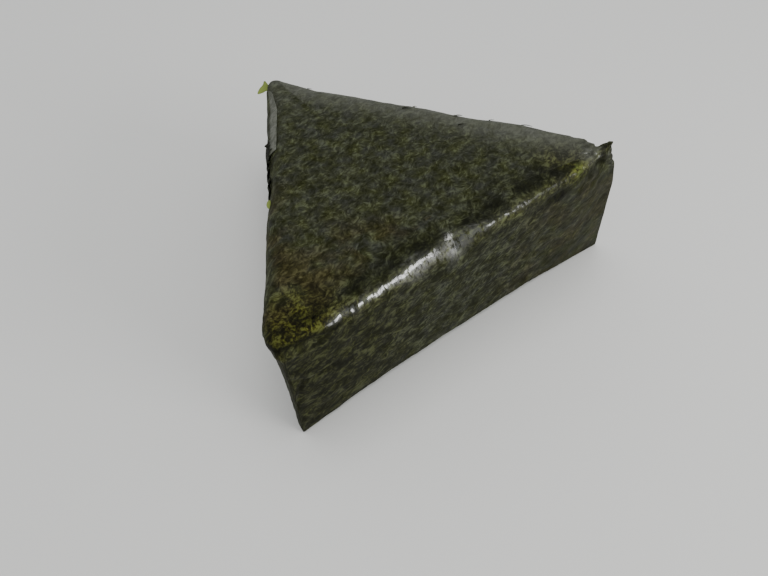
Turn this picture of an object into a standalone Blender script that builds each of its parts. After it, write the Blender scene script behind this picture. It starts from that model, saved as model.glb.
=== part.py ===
"""Onigiri: a triangular rice ball wrapped all over in one sheet of nori, lying on its flat side.

It is one closed solid. A ball of rice is pressed into a three-sided block, so the mesh is a
sphere whose rings are laid on the block's levels: flat underside, rounded lower edge, side
walls, rounded upper edge and a gently crowned top. The sheet's spare corners add a pinched
fin at the right end of the base, a small pointed tip at the left end, and the pleats where
the sheet is folded over the two slanted sides.

Lengths are in millimetres and are turned to metres when the mesh is placed. In the block's
own drawing the base runs along +X from its left corner, +Y points from the base to the
apex, and +Z is up. The finished block stands on its underside, centred on the origin.
"""

import math

import bmesh
import bpy
from mathutils import Vector

MM = 0.001

# Triangle of the plan, at its three sharp corners. The base is wider at the underside.
BASE_LEFT_TOP = 1.0
BASE_LEFT_UNDER = 4.5
BASE_RIGHT_TOP = 86.0
BASE_RIGHT_UNDER = 95.0
APEX_X = 42.6
APEX_Y = 71.8
BULGES = {"base": 0.0, "right": 1.6, "left": -0.6}

# Thickness. The block is a slight wedge, thickest along its base.
BASE_THICKNESS = 37.0
LEFT_DROP = 2.0
APEX_DROP = 7.0
CROWN = 0.8

# Rounding of the long edges and of the corners in plan.
UPPER_EDGE = 5.5
LOWER_EDGE = 3.5
LEFT_CORNER_TOP = 4.0
LEFT_CORNER_UNDER = 1.2
RIGHT_CORNER = 1.2
APEX_CORNER = 1.6
LEAST_CORNER = 0.6

# The sheet is drawn out to a thin point at each corner, so the edge rounding fades there.
POINT_REACH = 7.0
POINT_INSET = 0.15
POINT_FADE = 6

# Pinch behind the right fin, where the sheet is squeezed together past the rice.
PINCH_DEPTH = 1.3
PINCH_START = 1.0
PINCH_LENGTH = 7.0
FIN_RISE = 2.4
FIN_REACH = 5.0
FIN_DIP = 0.6
FIN_DIP_AT = 1.6
FIN_DIP_WIDTH = 0.5

# Flaps folded over the slanted sides. On the right the outer flap hangs down from the top,
# and on the left it stands up from the underside. Each covers a small share of the thickness
# at the base, where the sheet is hardly wider than the block, and all of it further on.
FLAP_STEP = 0.9
FLAP_COVER_AT_BASE = 0.2
FLAP_FULL_FROM = 0.64
FLAP_SOFTNESS = 0.05
FLAP_END_FADE = 0.12

# Mesh density.
SIDE_STEPS = 24
CORNER_STEPS = 6
UNDER_RINGS = 4
LOWER_EDGE_RINGS = 4
WALL_RINGS = 16
UPPER_EDGE_RINGS = 6
TOP_RINGS = 7

MIDDLE = Vector((APEX_X, APEX_Y / 3.0))
MIDDLE_HEIGHT = BASE_THICKNESS - LEFT_DROP / 2.0 - APEX_DROP / 3.0 + CROWN

NORI_COLOUR = (0.030, 0.036, 0.016, 1.0)
NORI_ROUGHNESS = 0.55


def mix(a, b, t):
    return a + (b - a) * t


def smooth_step(value):
    value = min(max(value, 0.0), 1.0)
    return value * value * (3.0 - 2.0 * value)


def corners(level, inset):
    """The plan's sharp corners at a level from 0 (underside) to 1 (top), moved in by inset."""
    left = Vector((mix(BASE_LEFT_UNDER, BASE_LEFT_TOP, level), 0.0))
    right = Vector((mix(BASE_RIGHT_UNDER, BASE_RIGHT_TOP, level), 0.0))
    apex = Vector((APEX_X, APEX_Y))
    points = [left, right, apex]
    moved = []
    for index, point in enumerate(points):
        before = (points[index - 1] - point).normalized()
        after = (points[(index + 1) % 3] - point).normalized()
        half = before.angle(after) / 2.0
        bisector = (before + after).normalized()
        moved.append(point + bisector * inset / math.sin(half))
    return moved


def corner_arc(before, point, after, radius):
    """The points of a round corner, from the side before it to the side after it."""
    toward_before = (before - point).normalized()
    toward_after = (after - point).normalized()
    half = toward_before.angle(toward_after) / 2.0
    centre = point + (toward_before + toward_after).normalized() * radius / math.sin(half)
    first = point + toward_before * radius / math.tan(half) - centre
    turn = math.pi - 2.0 * half
    arc = []
    for step in range(CORNER_STEPS + 1):
        angle = turn * step / CORNER_STEPS
        spoke = Vector((
            first.x * math.cos(angle) - first.y * math.sin(angle),
            first.x * math.sin(angle) + first.y * math.cos(angle),
        ))
        arc.append(centre + spoke)
    return arc


def flap_relief(to_apex, from_fold):
    """How far a flap stands proud of a slanted side, at a share of the way to the apex and
    of the thickness from the edge that it is folded over."""
    cover = mix(FLAP_COVER_AT_BASE, 1.0, to_apex / FLAP_FULL_FROM)
    ends = smooth_step(to_apex / FLAP_END_FADE) * smooth_step((1.0 - to_apex) / FLAP_END_FADE)
    return FLAP_STEP * ends * smooth_step((cover - from_fold) / FLAP_SOFTNESS)


def side_run(start, end, level, side):
    """The points between two corners, without its ends, bulging outward at the middle."""
    run = end - start
    outward = Vector((run.y, -run.x)).normalized()
    points = []
    for step in range(1, SIDE_STEPS):
        along = step / SIDE_STEPS
        lift = BULGES[side] * math.sin(math.pi * along)
        if side == "left":
            lift += flap_relief(1.0 - along, level)
        if side == "right":
            lift += flap_relief(along, 1.0 - level)
            from_fin = (along * run.length - PINCH_START) / PINCH_LENGTH
            if 0.0 < from_fin < 1.0:
                lift -= PINCH_DEPTH * math.sin(math.pi * from_fin)
        points.append(start + run * along + outward * lift)
    return points


def outline(level, inset):
    """The closed outline of the block at one level: base, right side, then left side."""
    left, right, apex = corners(level, inset)
    left_corner = mix(LEFT_CORNER_UNDER, LEFT_CORNER_TOP, level)
    right_arc = corner_arc(left, right, apex, max(RIGHT_CORNER - inset, LEAST_CORNER))
    apex_arc = corner_arc(right, apex, left, max(APEX_CORNER - inset, LEAST_CORNER))
    left_arc = corner_arc(apex, left, right, max(left_corner - inset, LEAST_CORNER))
    points = list(right_arc)
    points += side_run(right_arc[-1], apex_arc[0], level, "right")
    points += apex_arc
    points += side_run(apex_arc[-1], left_arc[0], level, "left")
    points += left_arc
    points += side_run(left_arc[-1], right_arc[0], level, "base")
    return points


def thickness(x, y):
    """The height of the top above the underside, before its crown."""
    from_right = 1.0 - min(max(x / BASE_RIGHT_TOP, 0.0), 1.0)
    return BASE_THICKNESS - LEFT_DROP * from_right - APEX_DROP * y / APEX_Y


def fin_lift(x, y):
    """The fin's upper tip rises above the rice beside it, which dips a little."""
    reach = math.hypot(x - BASE_RIGHT_TOP, y) / FIN_REACH
    dip = math.exp(-(((reach - FIN_DIP_AT) / FIN_DIP_WIDTH) ** 2))
    return FIN_RISE * smooth_step(1.0 - reach) - FIN_DIP * dip


def levels():
    """Each ring from the underside's centre to the top's: (level, inset, share of the cap)."""
    lower = LOWER_EDGE / BASE_THICKNESS
    upper = UPPER_EDGE / BASE_THICKNESS
    rings = [(0.0, LOWER_EDGE, (k + 1) / UNDER_RINGS) for k in range(UNDER_RINGS)]
    for k in range(1, LOWER_EDGE_RINGS + 1):
        angle = math.pi / 2.0 * k / LOWER_EDGE_RINGS
        level = lower * (1.0 - math.cos(angle))
        rings.append((level, LOWER_EDGE * (1.0 - math.sin(angle)), 1.0))
    for k in range(1, WALL_RINGS + 1):
        rings.append((mix(lower, 1.0 - upper, k / WALL_RINGS), 0.0, 1.0))
    for k in range(1, UPPER_EDGE_RINGS + 1):
        angle = math.pi / 2.0 * k / UPPER_EDGE_RINGS
        level = 1.0 - upper * (1.0 - math.sin(angle))
        rings.append((level, UPPER_EDGE * (1.0 - math.cos(angle)), 1.0))
    rings += [(1.0, UPPER_EDGE, 1.0 - k / TOP_RINGS) for k in range(1, TOP_RINGS)]
    return rings


def ring_points(level, inset, share):
    """One ring of the block in millimetres. A share under 1 draws it in towards the middle."""
    plan = outline(level, inset)
    drawn_out = outline(level, inset * POINT_INSET)
    tips = corners(level, 0.0)
    points = []
    for point, far in zip(plan, drawn_out):
        from_tip = min((far - tip).length for tip in tips) / POINT_REACH
        pull = math.exp(-(from_tip**2)) * share**POINT_FADE
        flat = MIDDLE.lerp(point.lerp(far, pull), share)
        crown = CROWN * (1.0 - share * share)
        top = thickness(flat.x, flat.y) + fin_lift(flat.x, flat.y) * smooth_step(share)
        points.append(Vector((flat.x, flat.y, level * (top + crown))))
    return points


def make_nori_material():
    material = bpy.data.materials.new("nori")
    material.use_nodes = True
    shader = material.node_tree.nodes["Principled BSDF"]
    shader.inputs["Base Color"].default_value = NORI_COLOUR
    shader.inputs["Roughness"].default_value = NORI_ROUGHNESS
    shader.inputs["Metallic"].default_value = 0.0
    return material


def stand_on_origin(mesh):
    """Centres the block on the origin in plan and turns millimetres to metres."""
    xs = [vert.co.x for vert in mesh.verts]
    ys = [vert.co.y for vert in mesh.verts]
    centre = Vector(((min(xs) + max(xs)) / 2.0, (min(ys) + max(ys)) / 2.0, 0.0))
    bmesh.ops.translate(mesh, verts=mesh.verts, vec=-centre)
    bmesh.ops.scale(mesh, verts=mesh.verts, vec=Vector((MM, MM, MM)))


def make_onigiri():
    """Lays a sphere's rings on the block's levels, and its poles at the middle of each face."""
    rings = [ring_points(*ring) for ring in levels()]
    around = len(rings[0])
    bands = len(rings) + 1
    mesh = bmesh.new()
    bmesh.ops.create_uvsphere(mesh, u_segments=around, v_segments=bands, radius=1.0)
    for vert in mesh.verts:
        latitude = math.asin(max(-1.0, min(1.0, vert.co.z))) / math.pi + 0.5
        longitude = math.atan2(vert.co.y, vert.co.x) / (2.0 * math.pi)
        band = round(latitude * bands)
        if band == 0:
            vert.co = MIDDLE.to_3d()
        elif band == bands:
            vert.co = Vector((MIDDLE.x, MIDDLE.y, MIDDLE_HEIGHT))
        else:
            vert.co = rings[band - 1][round(longitude * around) % around]
    stand_on_origin(mesh)
    bmesh.ops.recalc_face_normals(mesh, faces=mesh.faces)
    data = bpy.data.meshes.new("onigiri")
    mesh.to_mesh(data)
    mesh.free()
    data.shade_smooth()
    data.materials.append(make_nori_material())
    onigiri = bpy.data.objects.new("onigiri", data)
    bpy.context.scene.collection.objects.link(onigiri)
    return onigiri


def main():
    for old in list(bpy.data.objects):
        bpy.data.objects.remove(old, do_unlink=True)
    make_onigiri()


main()
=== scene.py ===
"""Onigiri in nori: the looks of a triangular rice ball wrapped all over in one roasted sheet.

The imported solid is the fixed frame. The sheet is laid round its box as a fine mesh that has
the block's wedge, the rolled edge along the base, the pinched fin and tip at the base's
ends, the flaps folded over the slanted sides and the torn bits at the sheet's edges.

Sizes are in millimetres, measured from the solid's low corner: X along the base from its
left end, Y from the base to the apex, Z up through the thickness.
"""

import math

import bmesh
import bpy
import numpy as np
from mathutils import Euler, Matrix, Vector


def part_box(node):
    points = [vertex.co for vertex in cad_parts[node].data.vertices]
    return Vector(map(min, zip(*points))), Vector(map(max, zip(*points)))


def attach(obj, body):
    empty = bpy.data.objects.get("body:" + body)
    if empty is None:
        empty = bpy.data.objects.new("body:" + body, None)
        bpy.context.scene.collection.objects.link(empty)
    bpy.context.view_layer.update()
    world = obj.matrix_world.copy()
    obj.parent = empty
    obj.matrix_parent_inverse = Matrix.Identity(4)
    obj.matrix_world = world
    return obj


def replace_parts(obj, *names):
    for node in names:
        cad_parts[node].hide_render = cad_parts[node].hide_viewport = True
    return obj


bl_info = {
    "name": "Onigiri in Nori",
    "version": (1, 0, 0),
    "blender": (4, 5, 0),
    "location": "3D View > Sidebar > Onigiri",
    "description": "Wraps a triangular rice ball in a sheet of roasted nori",
    "category": "Object",
}

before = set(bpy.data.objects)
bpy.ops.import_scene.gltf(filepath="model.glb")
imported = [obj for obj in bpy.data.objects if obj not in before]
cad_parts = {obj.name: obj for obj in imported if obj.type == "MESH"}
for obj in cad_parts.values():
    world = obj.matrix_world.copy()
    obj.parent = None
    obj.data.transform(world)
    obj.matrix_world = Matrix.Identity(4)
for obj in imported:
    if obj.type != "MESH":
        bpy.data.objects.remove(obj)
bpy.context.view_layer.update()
NODE = "onigiri"
BODY = "root"
BOX_LOW, BOX_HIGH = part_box(NODE)
MM = 0.001
WIDTH, LENGTH, _ = (BOX_HIGH - BOX_LOW) / MM

# How the fine mesh is divided: columns run round the block, rings from the underside's middle
# to the top's. The base's columns and the rolled edge's rings are the closest.
BASE_COLUMNS = 300
SIDE_COLUMNS = 100
CORNER_COLUMNS = 10
FACET_COLUMNS = 12
FIN_COLUMNS = 14
UNDER_RINGS = 16
LOWER_EDGE_RINGS = 8
WALL_RINGS = 42
UPPER_EDGE_RINGS = 22
TOP_RINGS = 68
WALL_FROM = UNDER_RINGS + LOWER_EDGE_RINGS - 1
EDGE_FROM = WALL_FROM + WALL_RINGS

# The least turn between two spokes of the block's plan.
LEAST_TURN = 3e-4

# Large numbers that scatter a noise cell's place and its seed.
HASH_PLACE = (374761393, 668265263, 1442695041)
HASH_SEED = 974634777
HASH_MIX = 1274126177

FLAP_THICKNESS = 0.22
SHEET_UV = "sheet"
UV_MM = 100.0
NORI = "roasted_nori_sheet"
LOOKS = ("taut", "drawn", "soft", "thin", "toasted", "shade", "rubbed", "clear")

# The rolled edge has two fat lumps on it, where it swells, is drawn to a flat facet, is
# taller than deep, and has a wider gloss: (place along the base, reach, strength).
SWELL_LUMPS = ((39.0, 4.6, 1.0), (29.5, 4.6, 0.5))
FLAT_LUMPS = ((39.0, 4.5, 0.45), (29.5, 5.0, 0.20))
TALL_LUMPS = ((39.0, 4.2, 0.9), (29.0, 4.5, 0.7))
GLOSS_LUMPS = ((29.8, 3.4, 1.0), (39.2, 3.4, 1.5))
ROLL_LINE = -0.3

# Where the sheet is crumpled, thin and rubbed near the two ends of the rolled edge (X, Y).
EAR_CRUMPLE = (76.0, 2.5)
EAR_THIN = (70.5, 4.5)
EAR_ROOT = (74.2, 2.2)
EAR_SPARK = (75.5, 1.2)
KNOB_CRUMPLE = (1.5, 3.0)
KNOB_THIN = (5.0, 4.0)

# Pleats pressed into the base's face at its two ends: start and end as (X, Z), the depth
# and the width.
PLEATS = (
    ((-0.5, 34.2), (9.0, 32.2), 0.80, 1.0),
    ((0.6, 24.0), (4.8, 20.4), 0.40, 0.45),
    ((4.8, 20.4), (10.5, 20.6), 0.30, 0.6),
    ((3.1, 20.7), (1.2, 12.0), 0.45, 0.5),
    ((62.0, 32.4), (70.5, 33.2), 0.45, 0.8),
    ((70.5, 33.2), (76.7, 37.5), 0.45, 0.8),
    ((72.0, 32.7), (82.3, 33.6), 0.30, 0.6),
)

# The pleats whose creases get painted shade, in the same form.
SHADED_PLEATS = (
    ((-0.5, 34.2), (13.0, 32.6), 0.9, 1.1),
    ((60.4, 32.4), (70.5, 33.2), 0.8, 0.8),
    ((70.5, 33.2), (77.0, 37.7), 0.8, 0.7),
)

# Torn bits: (root, run to its tip, width, what it lies on, look). Those "flat" lie along the skin
# with a lifted tip, those "out" stand out from an edge with their face up. The look "shade" colours
# a flake dark with painted shade, as of its shaded underside.
TORN_BITS = (
    ((36.4, 70.6, 28.5), (-3.2, 0.2, -1.2), 1.9, "out", "clear"),
    ((16.4, 33.4, 31.0), (-0.8, 0.5, -0.3), 1.6, "out", "clear"),
    ((44.8, 62.8, 30.5), (0.9, -0.6, 0.1), 1.3, "flat", "rubbed"),
    ((55.2, 39.2, 32.0), (1.6, -1.6, 0.0), 0.5, "flat", "shade"),
    ((57.6, 38.8, 32.0), (1.2, 0.2, 0.1), 0.9, "flat", "thin"),
    ((62.6, 30.2, 33.0), (1.5, -1.2, 0.1), 0.9, "flat", "rubbed"),
    ((60.8, 26.6, 33.0), (1.1, -1.0, 0.0), 0.4, "flat", "shade"),
    ((67.2, 23.2, 33.5), (0.9, -0.7, 0.1), 0.6, "flat", "shade"),
    ((71.6, 18.8, 34.0), (1.7, -1.7, 0.1), 0.6, "flat", "shade"),
    ((24.6, 50.6, 30.5), (-1.3, 0.5, -0.1), 0.9, "out", "shade"),
    ((21.8, 45.4, 30.5), (-1.0, 0.2, 0.2), 0.8, "out", "shade"),
)

# The felt's flat shreds, the finer fibres among them and the narrow dark gaps, each lying in
# several directions: (angle, length, width).
SHREDS = ((-32.0, 2.7, 1.20), (-8.0, 2.2, 1.10), (58.0, 1.8, 1.20))
FIBRES = ((-26.0, 1.6, 0.60), (-50.0, 1.4, 0.55), (14.0, 1.2, 0.60))
SLITS = ((-34.0, 1.5, 0.60), (-8.0, 1.3, 0.55), (54.0, 1.0, 0.60))

# Camera's place, and the soft lights: (name, place, what it faces, width, height, watts).
# The rolled edge mirrors the window and the pale wall under it. The floor is in metres.
CAMERA_PLACE = (-13.2, -46.7, 122.0)
SOFTBOXES = (
    ("window", (210.0, -450.0, 190.0), (0.0, 0.0, 35.0), 240.0, 160.0, 1.35),
    ("wall", (260.0, -450.0, 50.0), (0.0, 0.0, 35.0), 360.0, 90.0, 0.15),
    ("ceiling", (0.0, 0.0, 700.0), (0.0, 0.0, 0.0), 500.0, 500.0, 2.1),
)
ROOM_STRENGTH = 0.80
FLOOR_HALF = 3.0


def mix(a, b, t):
    """From a at 0 to b at 1."""
    return a + (b - a) * t


def smooth(value):
    """0 below 0 and 1 above 1, with a smooth rise between them."""
    value = np.clip(value, 0.0, 1.0)
    return value * value * (3.0 - 2.0 * value)


def rise(value, start, run):
    """From 0 at the start to 1 at the end of a run, which may go down."""
    return smooth((value - start) / run)


def hump(value, centre, width):
    """1 at the centre, fading on both sides of it."""
    return np.exp(-(((value - centre) / width) ** 2))


def spot(x, y, place, reach):
    """1 at a place in plan, fading round it."""
    return hump(np.hypot(x - place[0], y - place[1]), 0.0, reach)


def lumps(x, places):
    """How fat the rolled edge is along the base, by one of the tables of its lumps."""
    return sum(strength * hump(x, place, reach) for place, reach, strength in places)


def unit(vectors):
    """The same directions at a length of 1."""
    return vectors / np.linalg.norm(vectors, axis=-1, keepdims=True)


def linear(hex_colour):
    """An sRGB hex colour as linear RGBA."""
    channels = [int(hex_colour[i : i + 2], 16) / 255.0 for i in (1, 3, 5)]
    toned = [c / 12.92 if c <= 0.04045 else ((c + 0.055) / 1.055) ** 2.4 for c in channels]
    return (*toned, 1.0)


def size_property(name, description, default):
    """A number that the sidebar shows."""
    return bpy.props.FloatProperty(name=name, description=description, default=default, unit="NONE")


def colour_property(name, description, hex_colour):
    """A colour that the sidebar shows."""
    return bpy.props.FloatVectorProperty(
        name=name, description=description, default=linear(hex_colour), size=4,
        subtype="COLOR", min=0.0, max=1.0,
    )


class WrapSizes(bpy.types.PropertyGroup):
    """Sizes of the wrapped block, in millimetres from the solid's low corner."""

    left_top: size_property("Left corner, top", "Sharp left corner of the top", -3.7)
    left_under: size_property("Left corner, under", "Sharp left corner of the underside", 0.0)
    right_top: size_property("Right corner, top", "Sharp right corner of the top", 82.0)
    right_under: size_property("Right corner, under", "Sharp right corner below", WIDTH + 0.1)
    apex_x: size_property("Apex X", "Where the apex stands along the base", 38.3)
    apex_y: size_property("Apex Y", "Sharp apex, from the base", LENGTH + 1.9)
    base_thickness: size_property("Thickness", "Thickness along the base", 36.8)
    left_drop: size_property("Left drop", "How much lower the left end is", 2.0)
    apex_drop: size_property("Apex drop", "How much lower the apex is", 7.2)
    crown: size_property("Crown", "Rise of the top at its middle", 0.8)
    roll: size_property("Rolled edge", "Radius of the edge along the base", 2.8)
    roll_swell: size_property("Roll swell", "Extra radius where the edge is fattest", 0.8)
    side_roll: size_property("Side edges", "Radius of the slanted sides' upper edges", 4.6)
    lower_roll: size_property("Lower edge", "Radius of the edge at the underside", 2.2)
    left_cut: size_property("Left facet", "How far the left corner is cut off, top", 7.2)
    fin_length: size_property("Fin length", "How far the pinched fin runs", 5.0)
    ear_rise: size_property("Ear rise", "Height of the fin's tip above the top", 4.3)


class NoriColours(bpy.types.PropertyGroup):
    """Colours of the roasted sheet."""

    grey: colour_property("Grey", "Greyer felt", "#2e2f29")
    grey_gap: colour_property("Grey gap", "Gaps in the greyer felt", "#1c1e12")
    grey_fibre: colour_property("Grey fibre", "Fibres of the greyer felt", "#474a3e")
    olive: colour_property("Olive", "Olive felt", "#33361c")
    olive_gap: colour_property("Olive gap", "Gaps in the olive felt", "#1c1e02")
    olive_fibre: colour_property("Olive fibre", "Fibres of the olive felt", "#555a3e")
    thin: colour_property("Thin", "Where the sheet is thin and light shows", "#413f08")
    thin_gap: colour_property("Thin gap", "Gaps in the thin places", "#191602")
    thin_fibre: colour_property("Thin fibre", "Brightest fibres of the thin places", "#65682a")
    toast: colour_property("Toast", "Reddish brown of roasted spots", "#352f16")
    toast_gap: colour_property("Toast gap", "Gaps in the roasted spots", "#1b1604")
    toast_fibre: colour_property("Toast fibre", "Fibres of the roasted spots", "#554e30")
    # Partly painted sheen: this pale grey is the grazing reflection along the far upper edges and
    # on the folded strip near the apex.
    rubbed: colour_property("Rubbed", "Smooth grey where the sheet is rubbed", "#66675e")
    clear: colour_property("Clear", "Single fronds that light comes through", "#87954a")
    shade: colour_property("Shade", "What deep folds leave of the light", "#6d6f46")


class StageSettings(bpy.types.PropertyGroup):
    """Camera, lights and floor."""

    floor: colour_property("Floor", "Colour of the table", "#dddcd8")
    azimuth: size_property("Azimuth", "Camera's turn about Z, degrees", -36.7)
    elevation: size_property("Elevation", "Camera's height above the horizon, degrees", 55.8)
    roll: size_property("Roll", "Camera's roll, degrees", 0.96)
    lens: size_property("Lens", "Focal length on a 36 mm sensor", 28.1)


class OnigiriSettings(bpy.types.PropertyGroup):
    """Everything that the sidebar shows."""

    wrap: bpy.props.PointerProperty(type=WrapSizes)
    colours: bpy.props.PointerProperty(type=NoriColours)
    stage: bpy.props.PointerProperty(type=StageSettings)


# ---------------------------------------------------------------- plan of the block


def arc_between(before, point, after, radius):
    """The points of a round corner, from the side before it to the side after it."""
    to_before, to_after = unit(before - point), unit(after - point)
    half = math.acos(float(to_before @ to_after)) / 2.0
    centre = point + unit(to_before + to_after) * radius / math.sin(half)
    spoke = point + to_before * radius / math.tan(half) - centre
    turns = (math.pi - 2.0 * half) * np.linspace(0.0, 1.0, CORNER_COLUMNS + 1)
    across = np.array([-spoke[1], spoke[0]])
    return centre + np.outer(np.cos(turns), spoke) + np.outer(np.sin(turns), across)


def run_between(start, end, columns, bulge):
    """The points between two corners, without its ends."""
    run = end - start
    outward = unit(np.array([run[1], -run[0]]))
    along = np.arange(1, columns) / columns
    return start + np.outer(along, run) + np.outer(bulge * np.sin(np.pi * along), outward)


def fin_and_side(right, apex_point, fin, bulge):
    """The right side from the fin's nose to the apex. The fin is two layers of sheet pressed
    together past the rice, whose own corner is round behind it."""
    nose = 0.35
    turns = math.pi * np.linspace(0.0, 0.92, CORNER_COLUMNS + 1) - math.pi / 2.0
    arc = right + np.column_stack([nose * np.cos(turns) - nose, nose * np.sin(turns) + nose])
    along = unit(apex_point - right)
    back_end = right + fin * np.array([-1.0, 0.50])
    rice_end = right + 2.1 * fin * along + 0.9 * np.array([along[1], -along[0]])
    corner = right + fin * np.array([-0.88, 1.02])
    steps = np.linspace(0.0, 1.0, FIN_COLUMNS + 1)[1:]
    back = arc[-1] + np.outer(steps, back_end - arc[-1])
    turn = steps[:, None]
    rice = (1 - turn) ** 2 * back_end + 2 * turn * (1 - turn) * corner + turn**2 * rice_end
    rest = run_between(rice_end, apex_point, SIDE_COLUMNS - 2 * FIN_COLUMNS, bulge)
    return np.concatenate([arc, back, rice, rest])


def plan_outline(sizes, top):
    """One closed outline of the block, at its top or its underside: right corner, right side,
    apex, left side, left corner, base."""
    left = np.array([sizes.left_top, 0.0] if top else [sizes.left_under, -0.4])
    right = np.array([sizes.right_top, 0.0] if top else [sizes.right_under, -1.0])
    apex = np.array([sizes.apex_x, sizes.apex_y])
    apex_arc = arc_between(right, apex, left, 2.2 if top else 2.8)
    cut = sizes.left_cut if top else 1.8
    upper = left + cut * (apex - left) / (apex - left)[1]
    lower = left + np.array([cut * 0.47, 0.0])
    upper_arc = arc_between(apex, upper, lower, 1.5 if top else 0.5)
    lower_arc = arc_between(upper, lower, right, 1.6 if top else 0.3)
    fin = sizes.fin_length if top else 0.6 * sizes.fin_length
    fin_side = fin_and_side(right, apex_arc[0], fin, 1.25)
    return np.concatenate([
        fin_side,
        apex_arc,
        run_between(apex_arc[-1], upper_arc[0], SIDE_COLUMNS, 0.1),
        upper_arc,
        run_between(upper_arc[-1], lower_arc[0], FACET_COLUMNS, 0.0),
        lower_arc,
        run_between(lower_arc[-1], fin_side[0], BASE_COLUMNS, 0.0 if top else -0.8),
    ])


def outward_of(outline):
    """Each point's outward direction, from its neighbours on the closed outline."""
    after = unit(np.roll(outline, -1, axis=0) - outline)
    run = after + np.roll(after, 1, axis=0)
    return unit(np.column_stack([run[:, 1], -run[:, 0]]))


class Plan:
    """The block's outlines at the underside and the top, and what each column is."""

    def __init__(self, sizes):
        self.sizes = sizes
        self.under = plan_outline(sizes, False)
        self.top = plan_outline(sizes, True)
        self.outward = outward_of(self.top)
        self.outward_under = outward_of(self.under)
        self.x = self.top[:, 0]
        self.columns = len(self.top)
        self.apex_start = CORNER_COLUMNS + SIDE_COLUMNS
        self.left_start = self.apex_start + CORNER_COLUMNS + 1
        self.base_start = self.left_start + SIDE_COLUMNS + 2 * CORNER_COLUMNS + FACET_COLUMNS
        column = np.arange(self.columns)
        self.is_base = column >= self.base_start
        tips = np.array([
            [sizes.left_top, 0.0], [sizes.right_top, 0.0], [sizes.apex_x, sizes.apex_y],
        ])
        gaps = np.linalg.norm(self.top[:, None, :] - tips[None, :, :], axis=2)
        self.from_left, self.from_right, self.from_apex = gaps.T

    def upper_radius(self):
        """The upper edge's radius at each column: a roll along the base that swells near its
        middle, softer edges along the sides, and sharp folds towards the three tips."""
        sizes = self.sizes
        swell = sizes.roll_swell * lumps(self.x, SWELL_LUMPS) - 0.9 * hump(self.x, 48.0, 5.0)
        return np.minimum.reduce([
            np.where(self.is_base, sizes.roll + swell, sizes.side_roll),
            0.3 + 0.3 * self.from_apex,
            1.5 + 0.18 * np.maximum(self.from_left - 4.0, 0.0),
            0.2 + np.where(self.is_base, 0.10, 0.18) * self.from_right,
        ])

    def tightness(self):
        """How much the rolled edge is drawn to a flat facet instead of a round, 0 to 1."""
        return np.where(self.is_base, 0.10 + lumps(self.x, FLAT_LUMPS), 0.0)

    def tallness(self):
        """How much higher than deep the rolled edge is."""
        return np.where(self.is_base, 1.0 + lumps(self.x, TALL_LUMPS), 1.0)

    def lower_radius(self):
        """The lower edge's radius at each column, sharper towards the three tips."""
        return np.minimum.reduce([
            np.full(self.columns, self.sizes.lower_roll),
            0.5 + 0.3 * self.from_apex,
            0.15 + 0.10 * self.from_left,
            0.15 + 0.09 * self.from_right,
        ])


def top_height(sizes, x, y):
    """Height of the top over the underside. The fin's upper tip stands up past the rice, with
    a hollow at its root."""
    from_right = 1.0 - np.clip(x / sizes.right_top, 0.0, 1.0)
    height = sizes.base_thickness - sizes.left_drop * from_right
    height -= sizes.apex_drop * y / sizes.apex_y
    crown = 1.0 - ((x - 38.0) / 44.0) ** 2 - ((y - 24.0) / 46.0) ** 2
    reach = np.hypot(x - sizes.right_top, y)
    ear = sizes.ear_rise * smooth(1.0 - reach / 11.0)
    return height + sizes.crown * np.maximum(crown, -0.5) + ear


def star_spokes(spokes):
    """The spokes of an outline turned a little, where needed, so that none passes the next."""
    angle = np.unwrap(np.arctan2(spokes[:, 1], spokes[:, 0]))
    steps = np.maximum(np.diff(angle), LEAST_TURN)
    whole = angle[-1] - angle[0]
    angle = angle[0] + np.concatenate([[0.0], np.cumsum(steps) * whole / steps.sum()])
    length = np.linalg.norm(spokes, axis=1, keepdims=True)
    return length * np.column_stack([np.cos(angle), np.sin(angle)])


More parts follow.
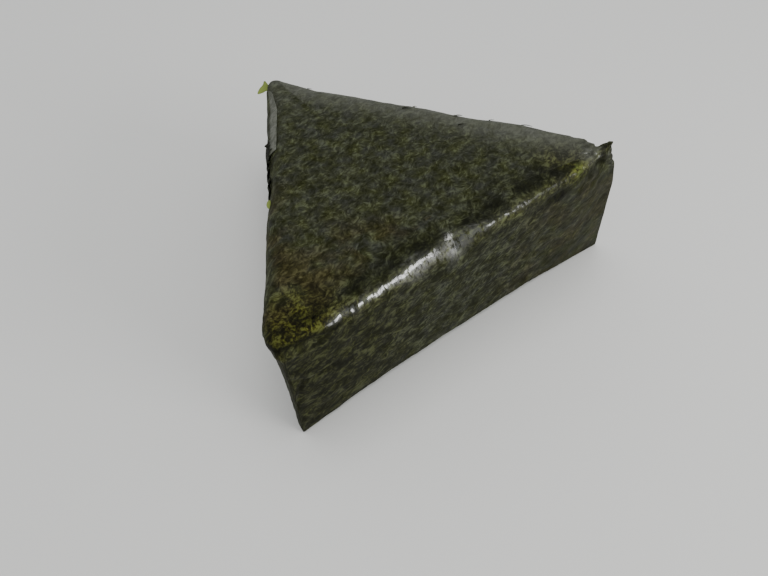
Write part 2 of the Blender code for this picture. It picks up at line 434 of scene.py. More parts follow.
def build_grid(plan):
    """Every ring of the block as a grid of points, with its place on the flat sheet."""
    sizes = plan.sizes
    upper = plan.upper_radius()
    lower = plan.lower_radius()
    full_height = top_height(sizes, *plan.top.T)
    middle = np.array([sizes.apex_x + 1.0, 8.6])
    edge_line = plan.top - plan.outward * upper[:, None]
    drop = upper * plan.tallness()
    wall = full_height - drop - lower
    quarter = math.pi / 2.0
    ones = np.ones(plan.columns)
    rings, sheet = [], []

    # The left corner's facet is mostly in the upper part, as the sheet droops over it.
    droop = 1.0 + 1.2 * rise(plan.from_left, 30.0, -22.0)[:, None]

    def place(level, inset, share, unfolded):
        level = level[:, None]
        outward = mix(plan.outward_under, plan.outward, level**droop)
        flat = mix(plan.under, plan.top, level**droop) - outward * inset[:, None]
        if share < 1.0:
            spokes = mix(star_spokes(flat - middle), flat - middle, share**12)
            flat = middle + spokes * share
        rings.append(np.column_stack([flat, level[:, 0] * top_height(sizes, *flat.T)]))
        sheet.append(flat if unfolded is None else edge_line + plan.outward * unfolded[:, None])

    down_face = (quarter - 1.0) * upper + full_height - lower
    for ring in range(UNDER_RINGS):
        place(0.0 * ones, lower, (ring + 1) / UNDER_RINGS, down_face + lower * quarter)
    for ring in range(1, LOWER_EDGE_RINGS + 1):
        angle = quarter * ring / LOWER_EDGE_RINGS
        level = lower * (1.0 - math.cos(angle)) / full_height
        place(level, lower * (1.0 - math.sin(angle)), 1.0, down_face + lower * (quarter - angle))
    for ring in range(1, WALL_RINGS + 1):
        share = ring / WALL_RINGS
        level = mix(lower, full_height - drop, share) / full_height
        place(level, 0.0 * ones, 1.0, down_face - wall * share)
    tight = plan.tightness()
    for ring in range(1, UPPER_EDGE_RINGS + 1):
        share = ring / UPPER_EDGE_RINGS
        angle = quarter * share
        down = drop * mix(1.0 - math.sin(angle), 1.0 - share, tight)
        inset = upper * mix(1.0 - math.cos(angle), share, tight)
        around = ((quarter - 1.0) * upper + drop) * (1.0 - share)
        place(1.0 - down / full_height, inset, 1.0, around)
    for ring in range(1, TOP_RINGS):
        place(ones, upper, 1.0 - ring / TOP_RINGS, None)
    return np.array(rings), np.array(sheet)


# ---------------------------------------------------------------- relief of the sheet


def gradient_noise(places, seed):
    """Smooth noise of about -1 to 1 whose features lie one unit apart."""
    cell = np.floor(places).astype(np.int64)
    part = places - cell
    fade = part * part * part * (part * (part * 6.0 - 15.0) + 10.0)
    total = 0.0
    for corner in np.ndindex(2, 2, 2):
        key = (cell + corner) @ np.array(HASH_PLACE) + seed * HASH_SEED
        key = ((key ^ (key >> 13)) * HASH_MIX) & 0x7FFFFFFF
        key = key ^ (key >> 15)
        slope = np.stack([(key >> shift) & 255 for shift in (2, 9, 17)], axis=-1) / 127.5 - 1.0
        weight = np.prod(np.where(np.array(corner) == 1, fade, 1.0 - fade), axis=-1)
        total += weight * np.sum(slope * (part - corner), axis=-1)
    return 1.7 * total


def noise_field(places, scale, seed, octaves=1):
    """Noise at each place. Scale is the size of its largest features in mm."""
    total = 0.0
    for octave in range(octaves):
        spots = places * (2.0**octave) / np.array(scale) + 0.37
        total += 0.5**octave * gradient_noise(spots, seed + 31 * octave)
    return total


def noise_along(places, scale, seed, octaves=1):
    """Noise that changes along one line only."""
    line = np.stack([places, 0.0 * places, 0.0 * places], axis=-1)
    return noise_field(line, scale, seed, octaves)


def crease(places, start, end, width):
    """1 on a straight crease between two places, fading across it and towards its ends."""
    start, end = np.array(start), np.array(end)
    run = end - start
    along = np.clip(((places - start) @ run) / (run @ run), 0.0, 1.0)
    gap = np.linalg.norm(places - start - along[..., None] * run, axis=-1)
    return np.exp(-((gap / width) ** 2)) * np.minimum(1.0, 0.35 + 2.6 * np.sin(np.pi * along))


def sheet_relief(points, sheet):
    """How far the sheet stands out from the smooth block, in millimetres."""
    x, y, z = np.moveaxis(points, -1, 0)
    lifted = 0.30 * noise_field(points, 17.0, 1) + 0.16 * noise_field(points, 7.0, 2)
    lifted += 0.08 * noise_field(points, (3.4, 2.6, 2.6), 3)
    lifted += 0.05 * noise_field(points, 1.5, 4, 2)

    # The sheet puckers across the rolled edge, where it turns down over the rice.
    from_base = sheet[..., 1]
    across = np.stack([x, 0.22 * from_base, 0.0 * x], axis=-1)
    pucker = noise_field(across, 0.95, 5) + 0.8 * noise_field(across, 2.4, 6)
    patchy = 0.5 + 0.5 * smooth(0.5 + 1.2 * noise_field(points, 8.0, 7))
    ends = 1.0 + 2.0 * hump(x, 70.0, 9.0) + 1.8 * hump(x, 12.0, 8.0)
    lifted += 0.08 * pucker * patchy * ends * hump(from_base, ROLL_LINE, 3.2)
    lifted += 0.40 * noise_along(x, 6.0, 8, 2) * hump(from_base, ROLL_LINE, 3.0)

    # Crumple at the ear's root and at the left end of the roll.
    ear = spot(x, y, EAR_CRUMPLE, 6.0) * rise(z, 24.0, 6.0)
    lifted += 0.45 * noise_field(points, 2.4, 9, 2) * ear
    corner = spot(x, y, KNOB_CRUMPLE, 6.5)
    crumple = 0.2 + 0.35 * noise_field(points, 2.4, 10, 2)
    lifted += crumple * corner * rise(z, 28.0, 4.0)
    lifted -= 0.35 * corner * hump(z, 26.0, 7.0)

    # The right side swells towards the fin.
    off_side = 0.85 * (82.0 - 0.62 * y - x)
    lifted += 0.7 * hump(y, 20.0, 6.0) * rise(off_side, 3.0, -3.0) * smooth(z / 20.0)

    # The left side is hollow below the torn part of its flap.
    off_side = x + 3.7 - 0.583 * y
    lifted -= 0.8 * hump(y, 38.5, 8.0) * rise(off_side, 3.5, -3.0) * smooth(z / 10.0)

    # The thin fin is calmer, so that its two faces stay apart.
    calm = 1.0 - 0.75 * hump(x, 84.0, 5.0) * rise(y, 4.0, -3.0)
    return lifted * smooth(z / 1.5) * calm


def front_creases(points):
    """Pleats pressed into the base's face at its two ends."""
    face = points[..., [0, 2]]
    depth = sum(deep * crease(face, start, end, width) for start, end, deep, width in PLEATS)
    return depth * rise(points[..., 1], 2.4, -1.4)


def lean_ear(points):
    """The fin's upper end leans back over the rice, with a hollow in its near face."""
    x, y, z = np.moveaxis(points, -1, 0)
    near = hump(x, 83.0, 5.0) * rise(y, 6.0, -4.0)
    leant = points.copy()
    leant[..., 0] -= near * (1.2 * rise(z, 24.0, 8.0) + 3.9 * rise(z, 30.5, 10.5))
    hollow = hump(x, 77.5, 2.4) * hump(z, 34.6, 1.7) * rise(y, 5.5, -4.0)
    leant[..., 1] += 0.9 * hollow - 0.7 * near * rise(z, 34.0, 5.0)
    return leant


class Body:
    """The wrapped block as one grid of points, its outward directions and its flat sheet."""

    def __init__(self, sizes):
        self.plan = Plan(sizes)
        smooth_points, self.sheet = build_grid(self.plan)
        smooth_points = lean_ear(smooth_points)
        height = sheet_relief(smooth_points, self.sheet) - front_creases(smooth_points)
        self.points = smooth_points + grid_normals(smooth_points) * height[..., None]
        self.points[..., 2] = np.maximum(self.points[..., 2], 0.0)
        self.normals = grid_normals(self.points)
        self.rings, self.columns = self.points.shape[:2]

    def sample(self, grid, ring, column):
        """A grid's values between its rings and columns."""
        ring = np.clip(ring, 0.0, self.rings - 1.001)
        low_ring = np.floor(ring).astype(int)
        low_column = np.floor(column).astype(int)
        up = (ring - low_ring)[..., None]
        over = (column - low_column)[..., None]
        here, next_column = low_column % self.columns, (low_column + 1) % self.columns
        lower = mix(grid[low_ring, here], grid[low_ring, next_column], over)
        upper = mix(grid[low_ring + 1, here], grid[low_ring + 1, next_column], over)
        return mix(lower, upper, up)


def grid_normals(points):
    """Outward directions of a ring-and-column grid, from its own neighbours."""
    along = np.roll(points, -1, axis=1) - np.roll(points, 1, axis=1)
    up = np.gradient(points, axis=0)
    normals = np.cross(along, up)
    length = np.linalg.norm(normals, axis=2, keepdims=True)
    return normals / np.maximum(length, 1e-9)


# ---------------------------------------------------------------- mesh helpers


def new_object(name, data):
    """A new object in the scene."""
    made = bpy.data.objects.new(name, data)
    bpy.context.scene.collection.objects.link(made)
    return made


def mesh_of(shape, name):
    """The mesh data of a bmesh, which is freed."""
    data = bpy.data.meshes.new(name)
    shape.to_mesh(data)
    shape.free()
    return data


def to_world(points):
    """Millimetres from the solid's low corner to metres in the shared frame."""
    flat = points.reshape(-1, 3)
    return np.column_stack([flat[:, :2] * MM + np.array(BOX_LOW)[:2], flat[:, 2] * MM])


def closed_tube(rings, columns):
    """A tube of rings closed at both ends, and which ring and column each of its points is.
    The two ends' middle points count as rings -1 and past the last."""
    tube = bmesh.new()
    bmesh.ops.create_grid(tube, x_segments=columns, y_segments=rings - 1, size=0.5)
    seam = [vert for vert in tube.verts if abs(abs(vert.co.x) - 0.5) < 1e-6]
    for vert in tube.verts:
        turn = 2.0 * math.pi * vert.co.x
        vert.co = (math.cos(turn), math.sin(turn), (vert.co.y + 0.5) * (rings - 1))
    bmesh.ops.remove_doubles(tube, verts=seam, dist=1e-5)
    ends = bmesh.ops.holes_fill(tube, edges=[e for e in tube.edges if e.is_boundary], sides=0)
    bmesh.ops.poke(tube, faces=ends["faces"])
    bmesh.ops.recalc_face_normals(tube, faces=tube.faces)
    data = mesh_of(tube, "sheet")
    places = read(data.vertices, "co", float, 3).reshape(-1, 3)
    ring = np.rint(places[:, 2]).astype(int)
    middle = np.hypot(places[:, 0], places[:, 1]) < 0.5
    ring[middle] = np.where(ring[middle] == 0, -1, rings)
    turn = np.arctan2(places[:, 1], places[:, 0]) / (2.0 * math.pi)
    return data, ring, np.rint(turn * columns).astype(int) % columns


def read(items, name, kind=int, size=1):
    """One attribute of all of a mesh's points, corners or faces."""
    values = np.empty(len(items) * size, dtype=kind)
    items.foreach_get(name, values)
    return values


def dress(data, points, per_loop, looks):
    """Places a mesh's points, and stores what the material reads: each corner's place on the
    flat sheet, and the looks of each point, from 0 to 1."""
    data.vertices.foreach_set("co", to_world(points).ravel())
    layer = data.uv_layers.new(name=SHEET_UV)
    layer.data.foreach_set("uv", (per_loop / UV_MM).astype(np.float32).ravel())
    for name in LOOKS:
        values = np.broadcast_to(looks.get(name, 0.0), len(data.vertices))
        attribute = data.attributes.new(name, "FLOAT", "POINT")
        attribute.data.foreach_set("value", np.clip(values, 0.0, 1.0).astype(np.float32))


def closed_sheet(outer, inner, flat, looks):
    """A thin closed sheet between two grids of points (along, across, 3), as a ball pressed
    flat. Flat gives each point's place on the unfolded sheet."""
    along, across = outer.shape[:2]
    data, ring, column = closed_tube(along, 2 * across)
    place_ring = np.clip(ring, 0, along - 1)
    front = column < across
    place = np.where(front, column, 2 * across - 1 - column)
    points = np.where(front[:, None], outer[place_ring, place], inner[place_ring, place])
    for end, middle in ((0, ring < 0), (-1, ring >= along)):
        points[middle] = (outer[end].mean(axis=0) + inner[end].mean(axis=0)) / 2.0
    per_loop = flat[place_ring, place][read(data.loops, "vertex_index")]
    dress(data, points, per_loop, {name: grid[place_ring, place] for name, grid in looks.items()})
    return data


def joined(parts):
    """Several meshes as one, faces turned outward."""
    whole = bmesh.new()
    for data in parts:
        whole.from_mesh(data)
        bpy.data.meshes.remove(data)
    bmesh.ops.recalc_face_normals(whole, faces=whole.faces)
    return mesh_of(whole, "sheet")


def link_piece(data, name, material):
    """Puts a finished mesh in the scene as one of the body's pieces."""
    data.name = name
    data.materials.append(material)
    data.shade_smooth()
    data.update()
    piece = new_object(name, data)
    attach(piece, BODY)
    return piece


# ---------------------------------------------------------------- materials


def fill(tree, node, inputs):
    """Sets a node's properties and sockets and a ramp's stops, and links other nodes' outputs."""
    for key, value in inputs.items():
        if key == "stops":
            elements = node.color_ramp.elements
            while len(elements) < len(value):
                elements.new(0.5)
            for element, (position, tone) in zip(elements, value):
                element.position = position
                element.color = tone if hasattr(tone, "__len__") else (tone, tone, tone, 1.0)
        elif hasattr(value, "is_output"):
            tree.links.new(value, node.inputs[key])
        elif isinstance(key, str) and hasattr(node, key):
            setattr(node, key, value)
        else:
            node.inputs[key].default_value = value


def add(tree, kind, inputs, out=0):
    """Adds a node with its settings and links, and gives one of its outputs."""
    node = tree.nodes.new("ShaderNode" + kind)
    fill(tree, node, inputs)
    return node.outputs[out]


def weighted(tree, total, *terms):
    """A start and the sum of terms added to it, each a value and its weight."""
    for value, weight in terms:
        inputs = {"operation": "MULTIPLY_ADD", 0: value, 1: weight, 2: total}
        total = add(tree, "Math", inputs)
    return total


def new_material(name):
    """A new material, with its node tree and its shader."""
    material = bpy.data.materials.new(name)
    material.use_nodes = True
    return material, material.node_tree, material.node_tree.nodes["Principled BSDF"]


def fibre_layer(tree, places, angle, along, across, seed):
    """Short strokes lying at one angle on the sheet. Sizes are in millimetres."""
    turned = add(tree, "VectorRotate", {
        "rotation_type": "Z_AXIS", "Vector": places, "Angle": math.radians(angle),
    })
    strokes = add(tree, "Mapping", {
        "Vector": turned, "Scale": (1.0 / along, 1.0 / across, 1.0),
        "Location": (seed, 2.0 * seed, seed),
    })
    noise = {"Vector": strokes, "Scale": 1.0, "Detail": 2.0, "Roughness": 0.55}
    return add(tree, "TexNoise", noise)


def felt(tree, places, drawn, directions):
    """Strokes in several directions laid over each other. Where the sheet is drawn, those
    past the first two fall back."""
    total = 0.0
    for index, direction in enumerate(directions):
        layer = fibre_layer(tree, places, *direction, 3.1 * index + direction[1])
        if index >= 2:
            layer = weighted(tree, layer, (drawn, -0.04))
        total = add(tree, "Math", {"operation": "MAXIMUM", 0: total, 1: layer})
    return total


def sheet_places(tree):
    """Each point's place on the flat sheet in millimetres, as it is and a little bent, so
    that the fibres don't lie dead straight."""
    uv = add(tree, "UVMap", {"uv_map": SHEET_UV})
    flat = add(tree, "Mapping", {"Vector": uv, "Scale": (UV_MM, UV_MM, UV_MM)})
    noise = {"Vector": flat, "Scale": 0.35, "Detail": 1.0, "Roughness": 0.55}
    bend = add(tree, "TexNoise", noise, "Color")
    bend = add(tree, "VectorMath", {"operation": "SUBTRACT", 0: bend, 1: (0.5, 0.5, 0.5)})
    moved = {"operation": "MULTIPLY_ADD", 0: bend, 1: (2.4, 2.4, 2.4), 2: flat}
    return flat, add(tree, "VectorMath", moved)


def felt_weave(tree, looks, flat, patch, shreds, fibres, slits):
    """How bright the felt is at each point, from its gaps at 0 to its fibres at 1."""
    thin = weighted(tree, 0.0, (looks["thin"], 2.0))
    noise = {"Vector": flat, "Scale": 1.9, "Detail": 2.0, "Roughness": 0.6}
    speckle = add(tree, "TexNoise", noise)
    weave = weighted(
        tree, -1.10, (shreds, 1.8), (fibres, 1.6), (slits, -1.7), (patch, 1.1),
        (speckle, thin), (thin, -0.5),
    )

    # Soft places have less contrast round the middle tone, and drawn ones have more.
    drawn = weighted(tree, 0.0, (looks["drawn"], 1.2))
    noise = {"Vector": flat, "Scale": 0.22, "Detail": 2.0, "Roughness": 0.55}
    cloud = add(tree, "TexNoise", noise)
    loose = weighted(tree, looks["soft"], (looks["drawn"], -0.3))
    weave = add(tree, "Mix", {"clamp_factor": False, 0: loose, 2: weave, 3: 0.42})
    return weighted(tree, weave, (cloud, drawn), (drawn, -0.5))


def nori_tone(tree, looks, colour, flat, places, patch, weave):
    """The felt's colour: more olive or greyer in blotches, thin, roasted, rubbed, or in a
    fold's shade."""
    tones = {}
    for name, low in (("grey", 0.0), ("olive", 0.0), ("thin", 0.2), ("toast", 0.0)):
        tones[name] = add(tree, "ValToRGB", {"Fac": weave, "stops": (
            (low, colour[name + "_gap"]), (0.5, colour[name]), (1.0 - low, colour[name + "_fibre"]),
        )})
    noise = {"Vector": places, "Scale": 0.16, "Detail": 2.0, "Roughness": 0.5}
    roasted = add(tree, "SeparateColor", {"Color": add(tree, "TexNoise", noise, "Color")}, "Blue")
    noise = {"Vector": flat, "Scale": 0.30, "Detail": 3.0, "Roughness": 0.6}
    blotch = add(tree, "TexNoise", noise)
    whole = ((0.0, 1.0), (1.0, 1.0))
    tone = tones["grey"]
    for look, pattern, stops, over, how in (
        (1.0, blotch, ((0.34, 0.05), (0.66, 0.95)), tones["olive"], "MIX"),
        (looks["thin"], patch, ((0.34, 0.45), (0.54, 1.0)), tones["thin"], "MIX"),
        (looks["toasted"], roasted, ((0.42, 0.0), (0.60, 0.7)), tones["toast"], "MIX"),
        (looks["rubbed"], weave, ((0.1, 0.55), (0.7, 1.0)), colour["rubbed"], "MIX"),
        (looks["clear"], 1.0, whole, colour["clear"], "MIX"),
        (looks["shade"], 1.0, whole, colour["shade"], "MULTIPLY"),
    ):
        mask = add(tree, "ValToRGB", {"Fac": pattern, "stops": stops})
        laid = {0: weighted(tree, 0.0, (look, mask)), 6: tone, 7: over}
        tone = add(tree, "Mix", {"data_type": "RGBA", "blend_type": how, **laid}, 2)
    return tone


def roasted_nori(colours):
    """Roasted nori: seaweed fronds chopped, felted into a thin sheet, dried and toasted. It
    gives the eye crossing olive strokes on a near-black ground, a dull grey sheen, and a
    gloss where the sheet is drawn tight over an edge."""
    material, tree, shader = new_material(NORI)
    colour = {key: tuple(getattr(colours, key)) for key in NoriColours.__annotations__}
    looks = {name: add(tree, "Attribute", {"attribute_name": name}, "Fac") for name in LOOKS}
    flat, places = sheet_places(tree)
    shreds, fibres, slits = (
        felt(tree, places, looks["drawn"], strokes) for strokes in (SHREDS, FIBRES, SLITS)
    )
    noise = {"Vector": places, "Scale": 0.42, "Detail": 2.0, "Roughness": 0.6}
    patch = add(tree, "TexNoise", noise)
    weave = felt_weave(tree, looks, flat, patch, shreds, fibres, slits)

    # The gloss of the taut places is broken into stripes that lie across the rolled edge.
    stripes = add(tree, "Mapping", {"Vector": flat, "Scale": (1.3, 0.55, 1.0)})
    film = add(tree, "TexNoise", {
        "Vector": stripes, "Scale": 1.0, "Detail": 3.0, "Roughness": 0.65, "Distortion": 0.8,
    })
    gloss = add(tree, "ValToRGB", {"Fac": film, "stops": ((0.38, 0.05), (0.51, 1.0))})

    # The felt is dull, and smoother where it is taut.
    dull = add(tree, "ValToRGB", {"Fac": patch, "stops": ((0.35, 0.72), (0.65, 0.60))})

    # Shreds and fibres stand about 0.05 mm proud of the felt.
    height = weighted(tree, 0.0, (shreds, 0.16), (fibres, 0.14), (slits, -0.08))
    fill(tree, shader, {
        "Base Color": nori_tone(tree, looks, colour, flat, places, patch, weave),
        "Roughness": weighted(tree, dull, (looks["taut"], -0.22)),
        "Specular IOR Level": 0.08,
        "Coat Weight": weighted(tree, 0.0, (looks["taut"], gloss)),
        "Coat Roughness": 0.15,
        "Coat IOR": 2.0,
        "Normal": add(tree, "Bump", {"Strength": 0.8, "Distance": MM, "Height": height}),
    })
    return material


# ---------------------------------------------------------------- operators


def nori_material(context):
    """The nori, made once."""
    found = bpy.data.materials.get(NORI)
    return found or roasted_nori(context.scene.onigiri.colours)


class ONIGIRI_OT_wrap(bpy.types.Operator):
    """Lay the nori sheet round the block as one closed, finely creased mesh"""

    bl_idname = "onigiri.wrap"
    bl_label = "Nori wrap"

    def execute(self, context):
        sizes = context.scene.onigiri.wrap
        body = Body(sizes)
        data, ring, column = closed_tube(body.rings, body.columns)
        low, high = ring < 0, ring >= body.rings
        inner = np.clip(ring, 0, body.rings - 1)
        placed = body.points[inner, column]
        placed[low] = body.points[0].mean(axis=0)
        placed[high] = body.points[-1].mean(axis=0)
        spread = body.sheet[inner, column]
        spread[high] = placed[high][:, :2]

        # The underside continues the base's face and is turned over, as the sheet is.
        corners = read(data.loops, "vertex_index")
        face_ring = np.minimum.reduceat(ring[corners], read(data.polygons, "loop_start"))
        under_face = np.repeat(face_ring < UNDER_RINGS - 1, read(data.polygons, "loop_total"))
        turned = np.column_stack([placed[:, 0], -placed[:, 1] - sizes.base_thickness - 2.0])
        per_loop = np.where(under_face[:, None], turned[corners], spread[corners])
        dress(data, placed, per_loop, wrap_looks(body, placed, spread, column))
        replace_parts(link_piece(data, "nori_wrap", nori_material(context)), NODE)
        return {"FINISHED"}


def wrap_looks(body, points, spread, column):
    """Where the sheet is taut and glossy, drawn lengthwise, thin, toasted, darkened with painted
    shade in its folds and on the base's face, or pale grey with painted sheen along its far edges
    and at the ear's root."""
    x, y, z = points.T
    plan = body.plan
    from_base = spread[:, 1]
    from_apex, from_left, from_right = (
        gap[column] for gap in (plan.from_apex, plan.from_left, plan.from_right)
    )
    inside = np.sum((plan.top[column] - points[:, :2]) * plan.outward[column], axis=1)
    rim = smooth((z - top_height(plan.sizes, *plan.top[column].T) + 4.6) / 3.0)
    left = (column > plan.left_start) & (column < plan.base_start)
    right = (column > 2 * CORNER_COLUMNS) & (column < plan.apex_start)
    front = rise(y, 1.8, -1.5) * rise(z, 34.0, -4.0)
    high = rise(z, 20.0, 6.0)
    above = rise(z, 33.2, 1.6)

    # The crest of the rolled edge, brightest up to the second lump.
    fat = lumps(x, GLOSS_LUMPS)
    stray = 0.25 * noise_along(x, 2.2, 44, 2)
    crest = hump(from_base, 0.35 - 0.80 * fat + stray, 0.68 + 1.55 * fat) * high
    glossy = rise(x, 9.0, 4.0) * mix(1.0, 0.30, rise(x, 44.0, 4.0))
    glossy *= mix(1.0, 0.22, rise(x, 55.0, 3.0))
    spark = smooth((noise_field(points, 0.8, 45) - 0.25) / 0.2)
    spark = spark * spot(x, y, EAR_SPARK, 2.4) * rise(z, 35.0, 2.0)

    # The sheet is thin, and light comes through it, near the block's two ends.
    ear = 0.60 * spot(x, y, EAR_THIN, 4.8) * above
    knob = 1.1 * spot(x, y, KNOB_THIN, 8.0) * above
    bright = hump(x, 70.2, 1.3) * hump(y, 0.7, 1.2) * rise(z, 32.0, 2.0)
    thin = 0.9 * (ear + knob) + 0.8 * bright + 0.25 * hump(from_base, -0.4, 2.1) * high
    thin += 0.20 * front * rise(x, 38.0, -25.0)

    toasted = hump(from_left, 14.0, 14.0) * left * high
    toasted += 0.9 * hump(inside, 2.0, 3.0) * left * hump(y, 24.0, 11.0) * high
    toasted += 0.6 * front * rise(x, 45.0, 25.0)

    # Painted sheen: a pale grey haze, with less contrast in the felt, along the right side's upper
    # edge and near the apex; and pale grey at the ear's root.
    back = 0.64 * rim * hump(inside, 2.4, 5.5) * right * rise(from_right, 2.0, 6.0)
    apex = 0.30 * hump(from_apex, 0.0, 16.0) * hump(inside, 3.0, 6.0)
    root = 0.9 * spot(x, y, EAR_ROOT, 2.0) * rise(z, 34.0, 2.0)

    behind = 0.8 * hump(from_base, 4.0, 3.0) * high * rise(x, 10.0, 6.0)
    soft = 0.60 * rise(x, 55.0, 20.0) + 0.35 * hump(z, 0.0, 5.0)
    # Painted shade on the base's face, which gets less light than the top; darkest at its left end.
    front_shade = front * mix(0.60, 0.30, rise(x, 8.0, 32.0))
    return {
        "taut": np.maximum(crest * glossy, 0.9 * spark),
        "drawn": np.maximum(front, behind),
        "soft": front * soft + 0.5 * back * high,
        "thin": thin,
        "toasted": toasted,
        "shade": np.maximum(fold_shade(points, from_base), front_shade),
        "rubbed": np.maximum(np.maximum(back, apex) * high, root),
        "clear": 0.35 * bright * smooth(0.5 + 1.3 * noise_field(points, 0.9, 43, 2)),
    }


def fold_shade(points, from_base):
    """Painted shade: darker, cleaner green just behind the roll, under it, in the ear's hollow and
    in the creases at its ends.
    """
    x, y, z = points.T
    behind = 0.85 * hump(from_base, 3.2, 1.8) + 0.40 * hump(from_base, 6.0, 2.6)
    behind *= rise(x, 75.0, -4.0)
    under = 0.80 * hump(from_base, -4.2 - 1.3 * lumps(x, GLOSS_LUMPS), 1.8)
    under *= (0.60 + hump(x, 62.0, 10.0))
    patchy = 0.65 + 0.6 * noise_field(points, 5.0, 41, 2)
    deep = 0.5 * hump(x, 77.5, 2.2) * hump(z, 35.0, 1.8)
    for start, end, dark, width in SHADED_PLEATS:
        deep = np.maximum(deep, dark * crease(points[:, [0, 2]], start, end, width))
    soft = (behind * rise(z, 20.0, 6.0) + under) * patchy
    return np.maximum(soft, deep * rise(y, 3.2, -1.6))


class ONIGIRI_OT_flaps(bpy.types.Operator):
    """Fold the sheet's flaps over the two slanted sides"""

    bl_idname = "onigiri.flaps"
    bl_label = "Side flaps"

    def execute(self, context):
        body = Body(context.scene.onigiri.wrap)
        link_piece(left_flap(body), "nori_left_flap", nori_material(context))
        link_piece(right_flap(body), "nori_right_flap", nori_material(context))
        return {"FINISHED"}


def drape(body, ring, column, lift, shift, **looks):
    """A closed sheet laid on the body. Ring and lift are grids (along, across), and column
    is (along, 1)."""
    column = np.broadcast_to(column, ring.shape)
    points = body.sample(body.points, ring, column)
    normals = unit(body.sample(body.normals, ring, column))
    middle = points + normals * lift[..., None]
    flat = body.sample(body.sheet, ring, column) + np.array(shift)
    half = FLAP_THICKNESS / 2.0 * normals
    full = {name: np.broadcast_to(value, lift.shape) for name, value in looks.items()}
    return joined([closed_sheet(middle + half, middle - half, flat, full)])


def ragged(places, seed):
    """A torn edge's unevenness, in shares of a ring."""
    return noise_along(places, 4.0, seed, 3)


def left_flap(body):
    """The flap of the underside's sheet. It stands up the left side, and its end folds over the
    upper edge near the apex, as a smooth narrow strip with a pale free edge; the strip's pale grey
    is painted sheen. Below the strip's end the flap is torn, and its ragged edge curls up over the
    rice, darkened with painted shade."""
    plan = body.plan
    along, across = 260, 44
    column = np.linspace(plan.left_start + 1.0, plan.left_start + SIDE_COLUMNS - 2.0, along)
    column = column[:, None]
    y = np.interp(column, np.arange(plan.columns), plan.top[:, 1])
    cover = np.clip(mix(0.35, 1.0, y / 38.0), 0.0, 1.0)
    over = rise(y, 46.4, 0.9) * rise(y, 70.5, -5.0)
    torn = rise(y, 36.0, 3.0) * rise(y, 53.5, -2.5)
    rags = np.maximum(0.05, 0.30 + 0.28 * ragged(2.6 * y, 22))
    edge = WALL_FROM + cover * WALL_RINGS + 2.0 * ragged(y, 21) * (1.0 - over)
    edge += UPPER_EDGE_RINGS * np.maximum(0.74 * over, rags * torn)
    share = np.linspace(0.0, 1.0, across) ** 0.8
    ring = mix(WALL_FROM - 4.0, edge, share)

    # The rags are those rings of the rolled edge that the torn part reaches.
    rag_top = EDGE_FROM + UPPER_EDGE_RINGS * rags
    # Painted shade: the curled rags are coloured dark, as their shaded inner side.
    dark = torn * smooth((ring - EDGE_FROM + 0.8) / 1.6) * smooth(rag_top - ring + 1.0)
    # The folded strip's pale grey, palest at its free edge, is painted sheen.
    strip_from = EDGE_FROM + 0.42 * UPPER_EDGE_RINGS
    strip = over * smooth((ring - strip_from) / 2.5) * (1.0 - dark)
    pale = mix(0.30, 1.0, rise(share, 0.80, 0.10)) * mix(0.7, 1.0, rise(y, 66.0, -4.0))

    ends = rise(y, 8.0, 8.0) * rise(y, 70.0, -3.0)
    lift = 0.04 + 0.14 * (ends * rise(share, 0.5, 0.5))
    lift += 0.30 * (torn * (1.0 - over)) * rise(share, 0.86, 0.14) ** 2
    lift += 0.25 * dark * over
    return drape(
        body, ring, column, lift, (-61.0, 83.0),
        taut=0.10 * strip, drawn=0.6, shade=0.85 * dark, rubbed=strip * pale,
    )


def right_flap(body):
    """The flap of the top's sheet. It hangs down the right side, low at the base's end and
    over the whole thickness near the apex."""
    plan = body.plan
    along, across = 170, 40
    column = np.linspace(CORNER_COLUMNS + 30.0, plan.apex_start - 1.0, along)[:, None]
    y = plan.top[np.rint(column).astype(int), 1]
    cover = np.clip(mix(0.2, 1.0, y / 46.0), 0.0, 1.0)
    edge = EDGE_FROM - cover * (WALL_RINGS - 1.0) + 1.1 * ragged(y, 23)
    edge = np.maximum(edge, WALL_FROM - 2.0)
    share = np.linspace(0.0, 1.0, across) ** 0.8
    ring = mix(EDGE_FROM - 0.5, edge, share)
    free = 0.25 * rise(share, 0.9, 0.1) * (0.5 + ragged(y, 24))
    lift = -0.08 + 0.30 * smooth(share / 0.5) + free
    return drape(body, ring, column, lift, (71.0, 57.0), drawn=0.4)


class ONIGIRI_OT_torn_bits(bpy.types.Operator):
    """Add the shreds that stick out where the sheet is torn or creased"""

    bl_idname = "onigiri.torn_bits"
    bl_label = "Torn bits"

    def execute(self, context):
        body = Body(context.scene.onigiri.wrap)
        bits = [torn_bit(body, seed, *bit) for seed, bit in enumerate(TORN_BITS)]
        link_piece(joined(bits), "nori_torn_bits", nori_material(context))
        return {"FINISHED"}


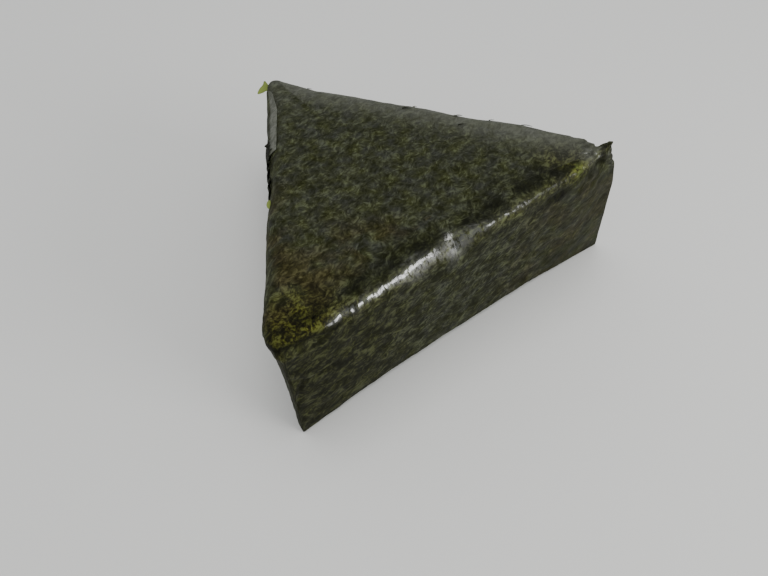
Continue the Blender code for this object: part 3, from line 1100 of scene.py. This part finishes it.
def torn_bit(body, seed, near, run, width, lies, look):
    """A thin pointed shred rooted in the sheet at the place nearest to the one given."""
    steps, across = 13, 7
    gaps = np.linalg.norm(body.points - np.array(near), axis=-1)
    ring, column = np.unravel_index(np.argmin(gaps), gaps.shape)
    out = body.normals[ring, column]
    root = body.points[ring, column] + (0.06 if lies == "flat" else -0.12) * out
    run = np.array(run)
    length = np.linalg.norm(run)
    if lies == "flat":
        run = run - (run @ out) * out + 0.12 * length * out
    face = out if lies == "flat" else np.array([-0.2, -0.3, 0.93])
    side = unit(np.cross(face, run))
    face = unit(np.cross(run, side))
    along = np.linspace(0.0, 1.0, steps)[:, None]
    torn = 1.0 + 0.5 * ragged(along * length * 2.5, 60 + seed)
    half = 0.5 * width * np.sqrt(np.clip(1.02 - along**1.6, 0.02, 1.0)) * torn
    curve = 0.06 * length * np.sin(np.pi * along)
    spine = root + along * run + curve * face
    over = np.linspace(-1.0, 1.0, across)
    middle = spine[:, None] + (half * over)[..., None] * side
    thick = 0.16 * (1.0 - 0.6 * over**2) * (1.0 - 0.5 * along)
    lift = thick[..., None] / 2.0 * face
    flat = np.stack(np.broadcast_arrays(along * 3.0, over), axis=-1)
    strength = mix(0.60, 0.95, along) if look == "clear" else mix(0.35, 0.85, along)
    looks = {look: np.tile(strength, (1, across))}
    return closed_sheet(middle + lift, middle - lift, flat + 7.0 * seed, looks)


class ONIGIRI_OT_stage(bpy.types.Operator):
    """Set the table, the soft lights and the camera"""

    bl_idname = "onigiri.stage"
    bl_label = "Stage"

    def execute(self, context):
        stage = context.scene.onigiri.stage
        make_floor(stage)
        make_lights()
        make_camera(stage)
        return {"FINISHED"}


def make_floor(stage):
    """Matt painted board: a plain pale table with a faint unevenness of tone."""
    material, tree, shader = new_material("matt_white_board")
    place = add(tree, "TexCoord", {}, "Object")
    cloud = add(tree, "TexNoise", {"Vector": place, "Scale": 4.0, "Detail": 2.0})
    pale = tuple(stage.floor)
    dim = (*(0.97 * c for c in pale[:3]), 1.0)
    tone = add(tree, "Mix", {"data_type": "RGBA", 0: cloud, 6: dim, 7: pale}, 2)
    fill(tree, shader, {"Base Color": tone, "Roughness": 0.6})
    floor = bmesh.new()
    bmesh.ops.create_grid(floor, x_segments=1, y_segments=1, size=FLOOR_HALF)
    data = mesh_of(floor, "table")
    data.materials.append(material)
    table = new_object("table", data)


def add_softbox(name, place_mm, target_mm, width_mm, height_mm, power):
    """A soft light that faces a place. Power is in watts."""
    light = bpy.data.lights.new(name, "AREA")
    light.shape = "RECTANGLE"
    light.size = width_mm * MM
    light.size_y = height_mm * MM
    light.energy = power
    box = new_object(name, light)
    box.location = Vector(place_mm) * MM
    direction = Vector(target_mm) * MM - box.location
    box.rotation_euler = direction.to_track_quat("-Z", "Y").to_euler()


def make_lights():
    """A bright overcast room with a window, a pale wall under it and a ceiling light."""
    world = bpy.data.worlds.new("soft_room")
    world.use_nodes = True
    background = world.node_tree.nodes["Background"]
    background.inputs["Color"].default_value = linear("#eef1f4")
    background.inputs["Strength"].default_value = ROOM_STRENGTH
    bpy.context.scene.world = world
    for softbox in SOFTBOXES:
        add_softbox(*softbox)


def make_camera(stage):
    """The camera's turn, height and roll come from the settings."""
    data = bpy.data.cameras.new("camera")
    data.lens = stage.lens
    data.sensor_width = 36.0
    data.clip_start = 0.01
    camera = new_object("camera", data)
    camera.location = Vector(CAMERA_PLACE) * MM + Vector((BOX_LOW.x, BOX_LOW.y, 0.0))
    tilt, turn = math.radians(90.0 - stage.elevation), math.radians(stage.azimuth)
    view = Euler((tilt, 0.0, turn), "XYZ").to_matrix()
    roll = Matrix.Rotation(math.radians(stage.roll), 3, "Z")
    camera.rotation_euler = (view @ roll).to_euler()
    bpy.context.scene.camera = camera


class ONIGIRI_PT_panel(bpy.types.Panel):
    """Buttons and sizes of the onigiri"""

    bl_idname = "ONIGIRI_PT_panel"
    bl_label = "Onigiri"
    bl_space_type = "VIEW_3D"
    bl_region_type = "UI"
    bl_category = "Onigiri"

    def draw(self, context):
        for operator in OPERATORS:
            self.layout.operator(operator.bl_idname)
        settings = context.scene.onigiri
        for group in (settings.wrap, settings.colours, settings.stage):
            box = self.layout.box()
            for key in group.__annotations__:
                box.prop(group, key)


OPERATORS = (ONIGIRI_OT_stage, ONIGIRI_OT_wrap, ONIGIRI_OT_flaps, ONIGIRI_OT_torn_bits)
CLASSES = (WrapSizes, NoriColours, StageSettings, OnigiriSettings, *OPERATORS, ONIGIRI_PT_panel)


def register():
    for cls in CLASSES:
        bpy.utils.register_class(cls)
    bpy.types.Scene.onigiri = bpy.props.PointerProperty(type=OnigiriSettings)


def unregister():
    del bpy.types.Scene.onigiri
    for cls in reversed(CLASSES):
        bpy.utils.unregister_class(cls)


def main():
    register()
    bpy.ops.onigiri.stage()
    bpy.ops.onigiri.wrap()
    bpy.ops.onigiri.flaps()
    bpy.ops.onigiri.torn_bits()


if __name__ == "__main__":
    main()
